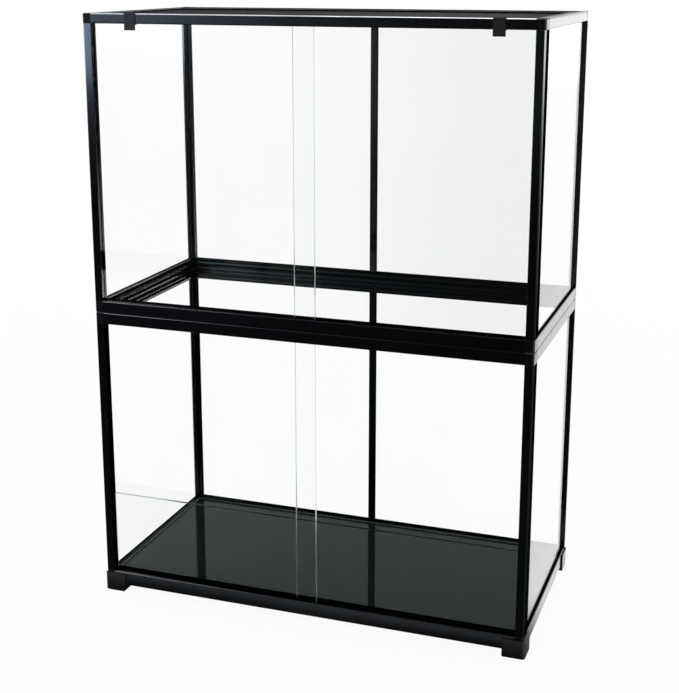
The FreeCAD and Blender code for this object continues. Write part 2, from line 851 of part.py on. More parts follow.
def cable_panel():
    """Moulded rear panel with two cable slots, a lip under the screen and a sliding gate at each slot."""
    depth, top = size.cable_panel_depth, size.cable_panel_height
    front = rear_face - core - depth
    body = new_body("cable_panel", (zero, front, screen_seat))
    half = frame_width / 2 - core - size.pane_play
    inner_half = frame_width / 2 - size.post_width - size.pane_play
    shelf_edge = depth - (size.post_width - core) - size.pane_play
    pad(body, [rectangle(-half, zero, half, depth - size.pane_play)], zero, top)
    lip = rectangle(-inner_half, -size.cable_panel_lip, inner_half, shelf_edge)
    pad(body, [lip], -size.screen_shelf_thickness, zero)

    middle = depth / 2
    slot_centre = half - size.cable_slot_inset
    gate_length = size.cable_slot_length + 2 * size.gate_margin
    gate_width = size.cable_slot_width + 2 * size.gate_margin
    gate_travel = size.cable_slot_length + size.gate_margin
    bed_centre = slot_centre - gate_travel / 2
    bed_length = gate_length + gate_travel + 2 * size.gate_play
    bed_floor = top - size.gate_thickness - size.gate_play
    bed_width = gate_width + 2 * size.gate_play
    slot_length, slot_width = size.cable_slot_length, size.cable_slot_width
    slots = [centred(side * slot_centre, middle, slot_length, slot_width) for side in (-1, 1)]
    beds = [centred(side * bed_centre, middle, bed_length, bed_width) for side in (-1, 1)]
    pocket(body, beds, bed_floor, top)
    pocket(body, slots, -size.screen_shelf_thickness, top)
    node(body, "cable_panel")

    gate_centre = slot_centre - gate_travel
    for name, side in (("left_cable_gate", -1), ("right_cable_gate", 1)):
        gate = new_body(name, (side * gate_centre, front + middle, screen_seat + bed_floor))
        pad(gate, [centred(zero, zero, gate_length, gate_width)], zero, size.gate_thickness)
        ridge = centred(zero, zero, size.gate_ridge_width, size.cable_slot_width)
        pad(gate, [ridge], size.gate_thickness, size.gate_thickness + size.gate_ridge_height)
        node(gate, name)


def door_clips():
    """Snap-on clips: a hook over the crown rail, a plate down its face and a tongue before the door."""
    thickness, reach, rail = size.clip_thickness, size.clip_hook_reach, size.crown_rail_height
    tip = -rail - size.clip_tongue_drop
    corners = [
        (-thickness, tip),
        (zero, tip),
        (zero, -rail - thickness),
        (reach, -rail - thickness),
        (reach, -rail),
        (zero, -rail),
        (zero, zero),
        (reach, zero),
        (reach, thickness),
        (-thickness, thickness),
    ]
    rounded = [(-thickness, tip), (-thickness, thickness)]
    starts = (
        ("left_door_clip", left_face + size.left_clip_inset - size.clip_width / 2),
        ("right_door_clip", right_face - size.right_clip_inset - size.clip_width / 2),
    )
    for name, start in starts:
        body = new_body(name, (start, front_face, frame_top), RAIL_TURN["front"])
        feature = pad(body, [corners], zero, size.clip_width)
        dress(body, "Fillet", feature, long_edges(feature, rounded), size.clip_tip_radius)
        node(body, name)


for module_name in MODULES:
    rails(module_name)
    posts(module_name)
    panes(module_name)
    doors(module_name)
    connectors(module_name)
floor_and_dam()
feet()
corner_pins("foot_screws", size.screw_recess, foot_screw)
corner_pins("stacking_dowels", seam - size.dowel_depth, stacking_dowel)
screen()
cable_panel()
door_clips()
doc.recompute()

for thing in doc.Objects:
    if "Invalid" in thing.State or "Error" in thing.State:
        raise RuntimeError("%s did not build: %s" % (thing.Name, thing.State))
for feature in pockets:
    if feature.BaseFeature.Shape.Volume - feature.Shape.Volume < 1:
        raise RuntimeError(feature.Name + " removes nothing")
for piece in nodes:
    if piece.Shape.isNull() or not piece.Shape.isValid():
        raise RuntimeError(piece.Label + " has no sound shape")

os.makedirs("parts", exist_ok=True)
for piece in nodes:
    piece.Shape.exportStep("parts/%s.step" % piece.Label)
print("wrote %d pieces" % len(nodes))
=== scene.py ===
# %% [markdown]
# # A tall glass terrarium, dressed for its portrait
# The cabinet is two framed glass boxes, one on the other. Black drawn aluminium holds thin glass,
# moulded corners join the rails, and a wire screen closes the top. All the shapes come from the packed
# frame. This lesson adds the finishes, the fine screen weave, the light and the camera.

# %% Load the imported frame
from math import cos, radians, sin, tau
import bpy
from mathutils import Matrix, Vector


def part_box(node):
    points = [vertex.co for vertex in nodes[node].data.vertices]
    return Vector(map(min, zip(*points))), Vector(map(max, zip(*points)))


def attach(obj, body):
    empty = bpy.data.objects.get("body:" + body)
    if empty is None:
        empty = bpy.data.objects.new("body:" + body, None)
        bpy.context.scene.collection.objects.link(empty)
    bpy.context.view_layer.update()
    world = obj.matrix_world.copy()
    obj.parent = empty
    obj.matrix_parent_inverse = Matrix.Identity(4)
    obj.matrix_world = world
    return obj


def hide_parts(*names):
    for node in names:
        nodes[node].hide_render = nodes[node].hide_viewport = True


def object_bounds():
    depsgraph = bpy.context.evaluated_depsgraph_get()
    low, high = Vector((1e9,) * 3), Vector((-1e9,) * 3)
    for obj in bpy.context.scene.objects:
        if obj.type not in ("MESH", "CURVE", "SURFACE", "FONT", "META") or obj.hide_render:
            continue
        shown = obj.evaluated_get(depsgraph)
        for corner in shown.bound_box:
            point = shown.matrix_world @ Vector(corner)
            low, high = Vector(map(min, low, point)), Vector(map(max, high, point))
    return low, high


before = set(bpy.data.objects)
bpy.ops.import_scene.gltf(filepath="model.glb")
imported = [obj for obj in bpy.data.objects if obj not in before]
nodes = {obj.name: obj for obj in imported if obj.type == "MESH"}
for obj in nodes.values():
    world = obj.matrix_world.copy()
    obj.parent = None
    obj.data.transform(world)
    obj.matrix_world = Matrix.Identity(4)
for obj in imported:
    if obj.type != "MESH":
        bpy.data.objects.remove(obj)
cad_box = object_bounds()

print(len(nodes), "pieces, from", tuple(cad_box[0]), "to", tuple(cad_box[1]))

# %% [markdown]
# ## Two small helpers
# Colours are written as the hex values that a paint program shows, so one function turns them into the
# linear values that Blender calculates with. The other adds a node with its settings and links. Nodes could
# be linked one line at a time, but this keeps each finish readable as a short recipe. In a Map Range node,
# sockets 1 and 2 are the range that it reads, and 3 and 4 the range that it gives.

# %% Helpers for colours and nodes
MM = 0.001


def linear(code):
    """The linear colour of an sRGB hex code such as 1b1d20."""
    shares = [int(code[i:i + 2], 16) / 255 for i in (0, 2, 4)]
    return tuple(s / 12.92 if s <= 0.04045 else ((s + 0.055) / 1.055) ** 2.4 for s in shares) + (1.0,)


def add(tree, kind, inputs=None, **settings):
    """A new node. Settings are its own properties, inputs are values, sockets, or nodes to link from."""
    made = tree.nodes.new(kind)
    for name, value in settings.items():
        setattr(made, name, value)
    for name, value in (inputs or {}).items():
        if isinstance(value, bpy.types.Node):
            value = next(socket for socket in value.outputs if socket.enabled)
        if isinstance(value, bpy.types.NodeSocket):
            tree.links.new(value, made.inputs[name])
        else:
            made.inputs[name].default_value = value
    return made


print("mid grey 808080 is", round(linear("808080")[0], 3), "in linear light")

# %% [markdown]
# ## Where a surface looks
# Hands and light work on places, not on whole pieces: edges are rubbed, ledges catch the sky, and a wall of
# the frame looks out into the room or in at the glass. Vertex groups could mark such places by hand, piece by
# piece. The direction of a surface and its place in the cabinet tell the same for all pieces at once, so
# these recipes work with those two.

# %% Shares of a surface
ACROSS, DEEP, UPRIGHT = 0, 1, 2  # the axes of the cabinet
SQUARE = 0.9  # a face is square to an axis when its direction has more than this share of it
ROUNDED = {1: 0.985, 2: 0.93, 3: 0.0, 4: 1.0}  # the largest share, from nearly flat to well round the edge
OUTSIDE = 0.9 * cad_box[1].x
INSIDE = -0.7 * cad_box[1].x
WIDTH_TO_DEPTH = cad_box[1].x / cad_box[1].y
TOP_BAND = 4 * MM


def worn_edges(tree):
    """1 on a rounded edge, where the surface is square to no axis, and 0 on a flat face."""
    normal = add(tree, "ShaderNodeNewGeometry").outputs["True Normal"]
    size = add(tree, "ShaderNodeVectorMath", {0: normal}, operation="ABSOLUTE")
    size = add(tree, "ShaderNodeSeparateXYZ", {0: size}).outputs
    most = add(tree, "ShaderNodeMath", {0: size["X"], 1: size["Y"]}, operation="MAXIMUM")
    most = add(tree, "ShaderNodeMath", {0: most, 1: size["Z"]}, operation="MAXIMUM")
    return add(tree, "ShaderNodeMapRange", {"Value": most, **ROUNDED})


def square_to(tree, axis):
    """1 on the faces that are square to an axis, 0 to 2."""
    normal = add(tree, "ShaderNodeNewGeometry").outputs["True Normal"]
    facing = add(tree, "ShaderNodeSeparateXYZ", {0: normal}).outputs[axis]
    facing = add(tree, "ShaderNodeMath", {0: facing}, operation="ABSOLUTE")
    return add(tree, "ShaderNodeMath", {0: facing, 1: SQUARE}, operation="GREATER_THAN")


def outward(tree, place):
    """How far out of the cabinet a surface looks along X, Y and Z: its direction times its place."""
    normal = add(tree, "ShaderNodeNewGeometry").outputs["True Normal"]
    away = add(tree, "ShaderNodeVectorMath", {0: normal, 1: place}, operation="MULTIPLY")
    return add(tree, "ShaderNodeSeparateXYZ", {0: away}).outputs


def outer_sides(tree, place):
    """1 on the outer faces of the left and right side."""
    away = outward(tree, place)
    return add(tree, "ShaderNodeMath", {0: away["X"], 1: OUTSIDE}, operation="GREATER_THAN")


def inner_walls(tree, place):
    """1 on faces of the outer frame that look into the cabinet."""
    away = outward(tree, place)
    along = add(tree, "ShaderNodeMath", {0: away["Y"], 1: WIDTH_TO_DEPTH}, operation="MULTIPLY")
    least = add(tree, "ShaderNodeMath", {0: away["X"], 1: along}, operation="MINIMUM")
    return add(tree, "ShaderNodeMath", {0: least, 1: INSIDE}, operation="LESS_THAN")


def very_top(tree, place):
    """1 in the uppermost band of the cabinet."""
    height = add(tree, "ShaderNodeSeparateXYZ", {0: place}).outputs["Z"]
    return add(tree, "ShaderNodeMath", {0: height, 1: cad_box[1].z - TOP_BAND}, operation="GREATER_THAN")


print("outer faces lie beyond", round(OUTSIDE / MM), "mm, inner walls beyond", round(-INSIDE / MM), "mm")

# %% [markdown]
# ## Where the metal shines
# The inner walls of the drawn rails are fluted, which hides scratches. The flutes are about 1 mm deep. As
# faces they would make heavy rails, so a sine wave raises them as bump. Each kind of piece has its own recipe
# of three shares: metal worn bare, pale sheen at a shallow angle, and glossy sealed oxide. On the front and
# rear rails the bare edges are wear and painted highlight, and lips and ledges have a painted sheen: both are
# strongest at the left end, where the key light falls, fade towards the middle, and run all along the very
# top.

# %% Flutes and polished ledges
frame_low, frame_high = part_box("upper_base_connectors")
FLUTE = 11 * MM
FRONT_LIP = 7.5 * MM
REAR_LEDGE = 40 * MM
# painted highlight on the rails: strongest at the left end, where the key light falls
LEFT_KEY_HIGHLIGHT = {1: -450 * MM, 2: -100 * MM, 3: 0.75, 4: 0.08}  # from the left end of a rail to near its middle
# painted glint: a glossy coat on the inner walls near the left end, where the key light falls
GLINT = {1: -450 * MM, 2: -50 * MM, 3: 1.0, 4: 0.0}


def flutes(tree, place):
    """A wave across the inner walls, from -1 to 1."""
    height = add(tree, "ShaderNodeSeparateXYZ", {0: place}).outputs["Z"]
    turn = add(tree, "ShaderNodeMath", {0: height, 1: tau / FLUTE}, operation="MULTIPLY")
    wave = add(tree, "ShaderNodeMath", {0: turn}, operation="SINE")
    return add(tree, "ShaderNodeMath", {0: wave, 1: inner_walls(tree, place)}, operation="MULTIPLY")


def rails_across(tree, place, wear_and_highlight):
    """Front and rear rails: painted highlight on edges, lips and ledges, most at the left end, and all along
    the top.
    """
    at = add(tree, "ShaderNodeSeparateXYZ", {0: place}).outputs
    left_key_highlight = add(tree, "ShaderNodeMapRange", {"Value": at["X"], **LEFT_KEY_HIGHLIGHT})
    wear_and_highlight = add(tree, "ShaderNodeMath", {0: wear_and_highlight, 1: left_key_highlight}, operation="MULTIPLY")
    depth = add(tree, "ShaderNodeMath", {0: at["Y"]}, operation="ABSOLUTE")
    # painted sheen on the level faces of the front lip and the rear ledge, fading like the painted highlight
    lip_sheen = add(tree, "ShaderNodeMath", {0: depth, 1: frame_high.y - FRONT_LIP}, operation="GREATER_THAN")
    ledge = add(tree, "ShaderNodeMath", {0: at["Y"], 1: frame_high.y - REAR_LEDGE}, operation="GREATER_THAN")
    lip_sheen = add(tree, "ShaderNodeMath", {0: lip_sheen, 1: ledge}, operation="MAXIMUM")
    lip_sheen = add(tree, "ShaderNodeMath", {0: lip_sheen, 1: left_key_highlight}, operation="MULTIPLY")
    lip_sheen = add(tree, "ShaderNodeMath", {0: lip_sheen, 1: very_top(tree, place)}, operation="MAXIMUM")
    lip_sheen = add(tree, "ShaderNodeMath", {0: square_to(tree, UPRIGHT), 1: lip_sheen}, operation="MULTIPLY")
    shine = add(tree, "ShaderNodeMath", {0: wear_and_highlight, 1: lip_sheen}, operation="MAXIMUM")
    glint = add(tree, "ShaderNodeMapRange", {"Value": at["X"], **GLINT})
    coat = add(tree, "ShaderNodeMath", {0: inner_walls(tree, place), 1: glint}, operation="MULTIPLY")
    return wear_and_highlight, shine, coat


print("flutes", round(FLUTE / MM), "mm apart")

# %% [markdown]
# ## Side rails
# From the front, the side rails are seen along their length, so every ledge and crest mirrors the bright ends
# of the room, and their outer faces are glossy all over. A pale painted sheen on the ledges inside the pane,
# on the outer faces and on the crests makes those reflections bright. The crests could be modelled as thin
# strips, but the wave of the flutes already has them: where it is high, sheen and gloss are painted on.

# %% Crests and ledges of the side rails
PANE_LINE = 4.5 * MM
RIB = {1: 0.2, 2: 0.6, 3: 0.0, 4: 1.0}  # from the slope of a flute to its crest


def rails_in_depth(tree, place, wear_and_highlight):
    """Side rails: painted sheen on the ledge inside the pane, the outer face and the crests of the flutes."""
    at = add(tree, "ShaderNodeSeparateXYZ", {0: place}).outputs
    beside = add(tree, "ShaderNodeMath", {0: at["X"]}, operation="ABSOLUTE")
    ledge = add(tree, "ShaderNodeMath", {0: beside, 1: frame_high.x - PANE_LINE}, operation="LESS_THAN")
    ledge = add(tree, "ShaderNodeMath", {0: ledge, 1: very_top(tree, place)}, operation="MAXIMUM")
    ledge = add(tree, "ShaderNodeMath", {0: square_to(tree, UPRIGHT), 1: ledge}, operation="MULTIPLY")
    rib = add(tree, "ShaderNodeMapRange", {"Value": flutes(tree, place), **RIB})
    coat = add(tree, "ShaderNodeMath", {0: outer_sides(tree, place), 1: rib}, operation="MAXIMUM")
    shine = add(tree, "ShaderNodeMath", {0: wear_and_highlight, 1: ledge}, operation="MAXIMUM")
    shine = add(tree, "ShaderNodeMath", {0: shine, 1: coat}, operation="MAXIMUM")
    return wear_and_highlight, shine, coat


print("side ledges end", round((frame_high.x - PANE_LINE) / MM, 1), "mm from the middle")

# %% [markdown]
# ## Posts
# The dye is rubbed off the outer corners of the posts, and these pale corners are painted highlight as well:
# strongest near the top, where the key light falls, and fading downwards. Inside, just above the seam between
# the two boxes, a glossy coat on the inner walls is a painted highlight of the light from the ledges.
# Painting this by hand would tie it to one post, so two ranges of height do it for all of them.

# %% Rubbed corners of the posts
CORNER = 6 * MM
# painted highlight as well as wear: the corners stay pale near the top, where the key light falls
TOP_HIGHLIGHT = {1: 700 * MM, 2: 1150 * MM, 3: 0.12, 4: 1.0}  # little wear low down, all of it near the top
SEAM_HIGHLIGHT = {1: 650 * MM, 2: 950 * MM, 3: 1.0, 4: 0.1}


def uprights(tree, place, wear_and_highlight):
    """Posts and mullions: rubbed outer corners with painted highlight near the top, painted gloss above the
    seam.
    """
    at = add(tree, "ShaderNodeSeparateXYZ", {0: place}).outputs
    beside = add(tree, "ShaderNodeMath", {0: at["X"]}, operation="ABSOLUTE")
    corner = add(tree, "ShaderNodeMath", {0: beside, 1: frame_high.x - CORNER}, operation="GREATER_THAN")
    wear_and_highlight = add(tree, "ShaderNodeMath", {0: wear_and_highlight, 1: corner}, operation="MULTIPLY")
    top_highlight_fade = add(tree, "ShaderNodeMapRange", {"Value": at["Z"], **TOP_HIGHLIGHT})
    wear_and_highlight = add(tree, "ShaderNodeMath", {0: wear_and_highlight, 1: top_highlight_fade}, operation="MULTIPLY")
    # painted highlight: a glossy coat on the inner walls, only just above the seam
    rise = add(tree, "ShaderNodeMapRange", {"Value": at["Z"], **SEAM_HIGHLIGHT})
    upper = add(tree, "ShaderNodeMath", {0: at["Z"], 1: frame_low.z}, operation="GREATER_THAN")
    rise = add(tree, "ShaderNodeMath", {0: rise, 1: upper}, operation="MULTIPLY")
    coat = add(tree, "ShaderNodeMath", {0: inner_walls(tree, place), 1: rise}, operation="MULTIPLY")
    return wear_and_highlight, wear_and_highlight, coat


print("the upper box starts at", round(frame_low.z / MM, 1), "mm")

# %% [markdown]
# ## A new material
# Every finish starts with an empty node tree, so no default node hides in it. A UV layout could place the
# patterns, but the solids have none. The piece's own coordinates are in metres and fit every piece.

# %% Start of a material
def start(name):
    """An empty material, with its tree, its surface socket and the piece's own coordinates in metres."""
    material = bpy.data.materials.new(name)
    material.use_nodes = True
    tree = material.node_tree
    tree.nodes.clear()
    surface = add(tree, "ShaderNodeOutputMaterial").inputs["Surface"]
    place = add(tree, "ShaderNodeTexCoord").outputs["Object"]
    return material, tree, surface, place


print("a pattern of 1 mm has the scale", round(1 / MM))

# %% [markdown]
# ## Black anodised aluminium
# Rails, posts and the screen ring are drawn through a die, then dyed black in an acid bath and sealed. The
# eye sees a dark satin metal under a thin clear skin of oxide: nearly black from the front, a pale sheen at a
# shallow angle, and faint lines along the length left by the die. A plain dark paint would miss the sheen. A
# dark metal with a pale edge tint and a coat has those layers. Real die lines are about 0.3 mm apart, too
# fine for the picture, so they are drawn 1.2 mm apart.

# %% Anodised aluminium
DIE_LINE = 1.2 * MM
DIE_RUN = 900 * MM
DIE_DEPTH = 0.03 * MM
DYE_CLOUD = 90 * MM
RUB = 60 * MM
RUBBED = {1: 0.3, 2: 0.6, 3: 0.8, 4: 1.0}
FLUTE_DEPTH = 1.1 * MM
SMOOTHER, DULLER = 0.03, 0.05  # how far the die lines change the roughness


def anodised(name, run, lit, dyes, bare, roughness, oxide_index):
    """Anodised aluminium: die lines along axis run, a recipe for its shine, two dyes and bare metal."""
    material, tree, surface, place = start(name)
    scale = [1 / DIE_LINE] * 3
    scale[run] = 1 / DIE_RUN
    along = add(tree, "ShaderNodeMapping", {"Vector": place, "Scale": scale})
    lines = add(tree, "ShaderNodeTexNoise", {"Vector": along, "Scale": 1.0, "Detail": 2.0})
    cloud = add(tree, "ShaderNodeTexNoise", {"Vector": place, "Scale": 1 / DYE_CLOUD, "Detail": 2.0})
    rub = add(tree, "ShaderNodeTexNoise", {"Vector": place, "Scale": 1 / RUB})
    rub = add(tree, "ShaderNodeMapRange", {"Value": rub, **RUBBED})
    edges = add(tree, "ShaderNodeMath", {0: rub, 1: worn_edges(tree)}, operation="MULTIPLY")
    # Painted highlight: the rounded edges along the very top turn near white and pale-sheened, where the
    # overhead light falls.
    rim = add(tree, "ShaderNodeMath", {0: edges, 1: very_top(tree, place)}, operation="MULTIPLY")
    wear_and_highlight, shine, coat = lit(tree, place, edges)
    shine = add(tree, "ShaderNodeMath", {0: shine, 1: rim}, operation="MAXIMUM")
    tone = add(tree, "ShaderNodeMix", {"Factor": cloud, "A": linear(dyes[0]), "B": linear(dyes[1])},
               data_type="RGBA")
    tone = add(tree, "ShaderNodeMix", {"Factor": wear_and_highlight, "A": tone, "B": linear(bare)}, data_type="RGBA")
    tone = add(tree, "ShaderNodeMix", {"Factor": rim, "A": tone, "B": linear("f0f0f0")}, data_type="RGBA")
    sheen = add(tree, "ShaderNodeMix", {"Factor": shine, "A": linear("303030"), "B": linear("f8f8f8")},
                data_type="RGBA")
    rough = add(tree, "ShaderNodeMapRange",
                {"Value": lines, 1: 0.3, 2: 0.7, 3: roughness - SMOOTHER, 4: roughness + DULLER})
    relief = add(tree, "ShaderNodeBump", {"Height": lines, "Strength": 0.05, "Distance": DIE_DEPTH})
    if run != UPRIGHT:
        fluted = add(tree, "ShaderNodeBump",
                     {"Height": flutes(tree, place), "Strength": 1.0, "Distance": FLUTE_DEPTH / 2})
        tree.links.new(fluted.outputs["Normal"], relief.inputs["Normal"])
    metal = add(tree, "ShaderNodeBsdfPrincipled", {
        "Base Color": tone, "Metallic": 1.0, "Roughness": rough, "Specular Tint": sheen, "Normal": relief,
        "Coat Weight": coat, "Coat Roughness": 0.08, "Coat IOR": oxide_index})
    tree.links.new(metal.outputs["BSDF"], surface)
    return material


print("die lines", round(DIE_LINE / MM, 1), "mm apart, flutes", round(FLUTE_DEPTH / MM, 1), "mm deep")

# %% [markdown]
# ## Rails and posts
# Die lines run along the piece, so rails across, rails in depth and uprights each need their own version.
# Turning one pattern for every piece would take a custom value on each. Three materials are easier to follow,
# and each also takes the tones that its pieces have: posts are a little paler and smoother than rails.

# %% Anodised pieces
def finish_with(material, names):
    """Gives one finish to the named pieces of the frame."""
    for name in names:
        slots = nodes[name].data.materials
        slots.clear()
        slots.append(material)
    print(material.name, "on", len(names), "pieces")


modules = ("lower", "upper")
sides = ("front", "rear", "left", "right")
corners = ("front_left", "front_right", "rear_left", "rear_right")
rails = {side: [f"{m}_{side}_{level}_rail" for m in modules for level in ("base", "top")] for side in sides}
posts = [f"{m}_{corner}_post" for m in modules for corner in corners]
mullions = [f"{m}_rear_mullion" for m in modules]
RAIL_DYE = ("1c1e20", "222426")
POST_DYE = ("232629", "2a2d30")
finish_with(anodised("anodised_aluminium_across", ACROSS, rails_across, RAIL_DYE, bare="6c6864",
                     roughness=0.3, oxide_index=2.2),
            rails["front"] + rails["rear"] + ["screen_frame"])
finish_with(anodised("anodised_aluminium_deep", DEEP, rails_in_depth, RAIL_DYE, bare="6c7074",
                     roughness=0.18, oxide_index=1.5),
            rails["left"] + rails["right"])
finish_with(anodised("anodised_aluminium_upright", UPRIGHT, uprights, POST_DYE, bare="c4c8ce",
                     roughness=0.12, oxide_index=2.2),
            posts + mullions)

# %% [markdown]
# ## Black ABS
# Feet, corner connectors, the cable panel with its gates and the two clips are injection moulded. The steel
# mould is spark eroded, which leaves an even pebbled grain and a soft, wide highlight. ABS has an index of
# about 1.54. The grain could be modelled, but bump costs no faces. The real grain is about 0.2 mm and is
# drawn at 1 mm so that it shows. The outer sides have a glossier skin, where the mould is polished.

# %% Moulded ABS
SPARK_GRAIN = 1.0 * MM
SPARK_DEPTH = 0.12 * MM
MELT_FLOW = 35 * MM
GRAINED = {1: 0.3, 2: 0.7, 3: 0.42, 4: 0.6}


def moulded_abs(name, code, pale, rubbed, gloss):
    """Spark-grained black ABS between two tones, rubbed paler on its edges."""
    material, tree, surface, place = start(name)
    grain = add(tree, "ShaderNodeTexNoise",
                {"Vector": place, "Scale": 1 / SPARK_GRAIN, "Detail": 2.0, "Roughness": 0.6})
    flow = add(tree, "ShaderNodeTexNoise", {"Vector": place, "Scale": 1 / MELT_FLOW})
    tone = add(tree, "ShaderNodeMix", {"Factor": flow, "A": linear(code), "B": linear(pale)},
               data_type="RGBA")
    tone = add(tree, "ShaderNodeMix", {"Factor": worn_edges(tree), "A": tone, "B": linear(rubbed)},
               data_type="RGBA")
    rough = add(tree, "ShaderNodeMapRange", {"Value": grain, **GRAINED})
    relief = add(tree, "ShaderNodeBump", {"Height": grain, "Strength": 0.3, "Distance": SPARK_DEPTH})
    plastic = add(tree, "ShaderNodeBsdfPrincipled", {
        "Base Color": tone, "Roughness": rough, "IOR": 1.54, "Specular IOR Level": gloss, "Normal": relief,
        "Coat Weight": outer_sides(tree, place), "Coat Roughness": 0.08, "Coat IOR": 1.6})
    tree.links.new(plastic.outputs["BSDF"], surface)
    return material


feet = [f"{corner}_foot" for corner in corners]
connectors = [f"{m}_{level}_connectors" for m in modules for level in ("base", "top")]
clips = ["left_door_clip", "right_door_clip"]
cable_fittings = ["cable_panel", "left_cable_gate", "right_cable_gate"]
finish_with(moulded_abs("moulded_ABS_corners", "060607", "0a0a0b", rubbed="3a3c3f", gloss=0.06), connectors)
finish_with(moulded_abs("moulded_ABS_feet", "08080a", "0c0c0e", rubbed="2c2e31", gloss=0.15), feet)
finish_with(moulded_abs("moulded_ABS_fittings", "070708", "0c0c0d", rubbed="2a2b2d", gloss=0.2),
            cable_fittings)
finish_with(moulded_abs("moulded_ABS_clips", "161717", "1b1c1c", rubbed="2c2e2e", gloss=0.15), clips)

# %% [markdown]
# ## Float glass
# The panes are low-iron float glass: a flat, fire-polished sheet that was cut and had its edges ground on a
# belt. The faces are clear, and the ground edges are pale and matt, which is why a door shows as two thin
# lines. One glass shader for both would lose those lines, so the direction of the surface chooses between
# two. Wiping leaves a faint haze, drawn as slow clouds of roughness, and the upper doors are tinted a little
# grey towards the right. Glass has an index near 1.5. The cabinet in the picture hardly mirrors the room, the
# lower box least of all, so lower values are set.

# %% Polished faces and ground edges
WIPE = 160 * MM
HAZE = {1: 0.4, 2: 0.8, 3: 0.0, 4: 0.03}
RIGHT_TINT = {1: -100 * MM, 2: 400 * MM, 3: 0.0, 4: 1.0}
GRIT = 1.5 * MM
IN_SHADE = {1: -300 * MM, 2: -100 * MM, 3: 0.0, 4: 1.0}


def polished_faces(tree, place, axis, index, right_tint):
    """Clear glass with a haze of wiping. Outer faces of the side panes get a coat for reflections."""
    haze = add(tree, "ShaderNodeTexNoise", {"Vector": place, "Scale": 1 / WIPE, "Detail": 4.0})
    rough = add(tree, "ShaderNodeMapRange", {"Value": haze, **HAZE})
    tint = add(tree, "ShaderNodeMix", {"Factor": haze, "A": linear("ffffff"), "B": linear("fdfefe")},
               data_type="RGBA")
    if right_tint:
        at = add(tree, "ShaderNodeSeparateXYZ", {0: place}).outputs["X"]
        spread = add(tree, "ShaderNodeMapRange", {"Value": at, **RIGHT_TINT}, interpolation_type="SMOOTHSTEP")
        tint = add(tree, "ShaderNodeMix", {"Factor": spread, "A": tint, "B": linear(right_tint)}, data_type="RGBA")
    coat = outer_sides(tree, place) if axis == ACROSS else 0.0
    return add(tree, "ShaderNodeBsdfPrincipled", {
        "Base Color": tint, "Roughness": rough, "IOR": index, "Transmission Weight": 1.0,
        "Coat Weight": coat, "Coat IOR": 1.5})


def ground_edges(tree, place, tones, index, shaded):
    """Matt edges between two tones. A shaded edge turns dark green from the middle of the cabinet on."""
    grit = add(tree, "ShaderNodeTexNoise", {"Vector": place, "Scale": 1 / GRIT})
    tone = add(tree, "ShaderNodeMix", {"Factor": grit, "A": linear(tones[0]), "B": linear(tones[1])},
               data_type="RGBA")
    if shaded:
        at = add(tree, "ShaderNodeSeparateXYZ", {0: place}).outputs["X"]
        dim = add(tree, "ShaderNodeMapRange", {"Value": at, **IN_SHADE})
        tone = add(tree, "ShaderNodeMix", {"Factor": dim, "A": tone, "B": linear("0c1410")}, data_type="RGBA")
    return add(tree, "ShaderNodeBsdfPrincipled", {
        "Base Color": tone, "Roughness": 0.3, "IOR": index, "Transmission Weight": 0.9})


print("haze", round(WIPE / MM), "mm, grit", GRIT / MM, "mm")

# %% [markdown]
# ## Panes and doors
# A pane is one sheet: faces and edges together. Glass that bends light would stop the lamps and leave the
# cabinet dark inside. Caustics could bring that light back, at the price of noise. A Light Path switch is
# simpler: it lets lamp rays go straight through with a trace of green.

# %% Panes, doors and the dam
GROUND = ("c8d6d0", "dfe8e4")
# painted shade: the dam's ground edges are a darker copy of the doors' edges
GROUND_DAM_SHADED = ("8a948f", "9aa49f")


def float_glass(name, axis, index, tones=GROUND, edge_index=1.45, shaded=False, right_tint=None):
    """Clear sheet glass whose two faces are square to axis, 0 to 2, with ground edges."""
    material, tree, surface, place = start(name)
    clear = polished_faces(tree, place, axis, index, right_tint)
    ground = ground_edges(tree, place, tones, edge_index, shaded)
    sheet = add(tree, "ShaderNodeMixShader", {0: square_to(tree, axis), 1: ground, 2: clear})
    lamp_ray = add(tree, "ShaderNodeLightPath").outputs["Is Shadow Ray"]
    through = add(tree, "ShaderNodeBsdfTransparent", {"Color": linear("f4faf6")})
    glass = add(tree, "ShaderNodeMixShader", {0: lamp_ray, 1: sheet, 2: through})
    tree.links.new(glass.outputs["Shader"], surface)
    return material


side_panes = [f"{m}_{side}_pane" for m in modules for side in ("left", "right")]
rear_panes = {m: [f"{m}_rear_{side}_pane" for side in ("left", "right")] for m in modules}
doors = {m: [f"{m}_{side}_door" for side in ("left", "right")] for m in modules}
finish_with(float_glass("float_glass_side", ACROSS, index=1.12), side_panes)
finish_with(float_glass("float_glass_rear", DEEP, index=1.2), rear_panes["upper"])
finish_with(float_glass("float_glass_clean", DEEP, index=1.07), rear_panes["lower"] + doors["lower"])
finish_with(float_glass("float_glass_tinted_right", DEEP, index=1.2, right_tint="f2f4f3"), doors["upper"])
finish_with(float_glass("float_glass_dam", DEEP, index=1.15, tones=GROUND_DAM_SHADED, edge_index=1.08, shaded=True),
            ["substrate_dam"])

# %% [markdown]
# ## Dark floor glass
# The floor is a pane enamelled dark on its underside. It works as a black mirror: the posts and the rear
# mullion stand on their own reflections, and the pane itself reads as a very dark green. Clear glass over a
# black sheet would show the same with two more surfaces to trace, so one dark glossy surface stands for both.

# %% Enamelled floor glass
DUST = 120 * MM
FILM_REACH = (0.3, 0.75)


def mottled(tree, noise, codes, satin, reach=(0.3, 0.7)):
    """A colour between two tones and a roughness between two values, which both follow one noise."""
    tone = add(tree, "ShaderNodeMix", {"Factor": noise, "A": linear(codes[0]), "B": linear(codes[1])},
               data_type="RGBA")
    rough = add(tree, "ShaderNodeMapRange",
                {"Value": noise, 1: reach[0], 2: reach[1], 3: satin[0], 4: satin[1]})
    return tone, rough


